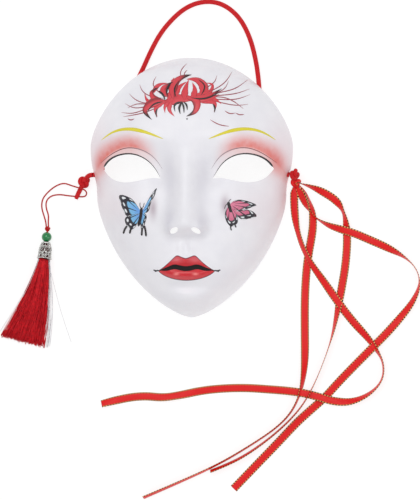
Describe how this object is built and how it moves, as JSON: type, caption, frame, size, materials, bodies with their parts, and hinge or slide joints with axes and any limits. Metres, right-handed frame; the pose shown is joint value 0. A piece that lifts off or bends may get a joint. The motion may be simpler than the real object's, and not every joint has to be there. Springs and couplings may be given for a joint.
{
  "type": "masquerade mask",
  "caption": "Full-face moulded masquerade mask with elastic strap, painted face, bead and filigree tassel on one side and satin ribbon tails on the other.",
  "frame": {"origin": "on the resting plane, under the middle of the shell", "axes": "+Y from chin to forehead, +X towards the ribbons (the wearer's left side), +Z out of the face"},
  "size_m": [0.3587, 0.4248, 0.0811],
  "materials": {
    "shell": "satin painted white",
    "elastic": "braided round elastic",
    "satin": "satin with metallic edge threads",
    "jade": "polished",
    "silver": "antique silver plate",
    "thread": "lustrous rayon thread"
  },
  "bodies": {
    "mask": {"mask_shell": "shell", "strap_knot_right": "elastic", "strap_end_left": "elastic", "ribbon_knot": "satin"},
    "strap": {"elastic_strap": "elastic"},
    "ribbons": {"ribbon_tail_inner": "satin", "ribbon_tail_outer": "satin", "ribbon_tail_middle": "satin", "ribbon_tail_side": "satin"},
    "tassel": {"tassel_cord": "thread", "tassel_cord_knot": "thread", "tassel_stem": "thread", "filigree_cap": "silver", "tassel_core": "thread", "tassel_skirt": "thread"},
    "bead": {"jade_bead": "jade"}
  },
  "joints": [
    {"name": "strap_swing", "type": "hinge", "parent": "mask", "child": "strap", "pos_m": [0, 0.0106, 0.0095], "axis": [-1, 0, 0], "range_deg": [0, 110]},
    {"name": "ribbon_swing", "type": "hinge", "parent": "mask", "child": "ribbons", "pos_m": [0.08834, 0.004, 0.0049], "axis": [0, 0, 1], "range_deg": [0, 60]},
    {"name": "tassel_swing", "type": "hinge", "parent": "mask", "child": "tassel", "pos_m": [-0.09574, -0.0043, 0.0043], "axis": [0, 0, 1], "range_deg": [-24, 24]},
    {"name": "bead_spin", "type": "hinge", "parent": "tassel", "child": "bead", "pos_m": [-0.12304, -0.0419, 0.0044], "axis": [-0.0888, -0.9827, 0.1624], "continuous": true}
  ]
}
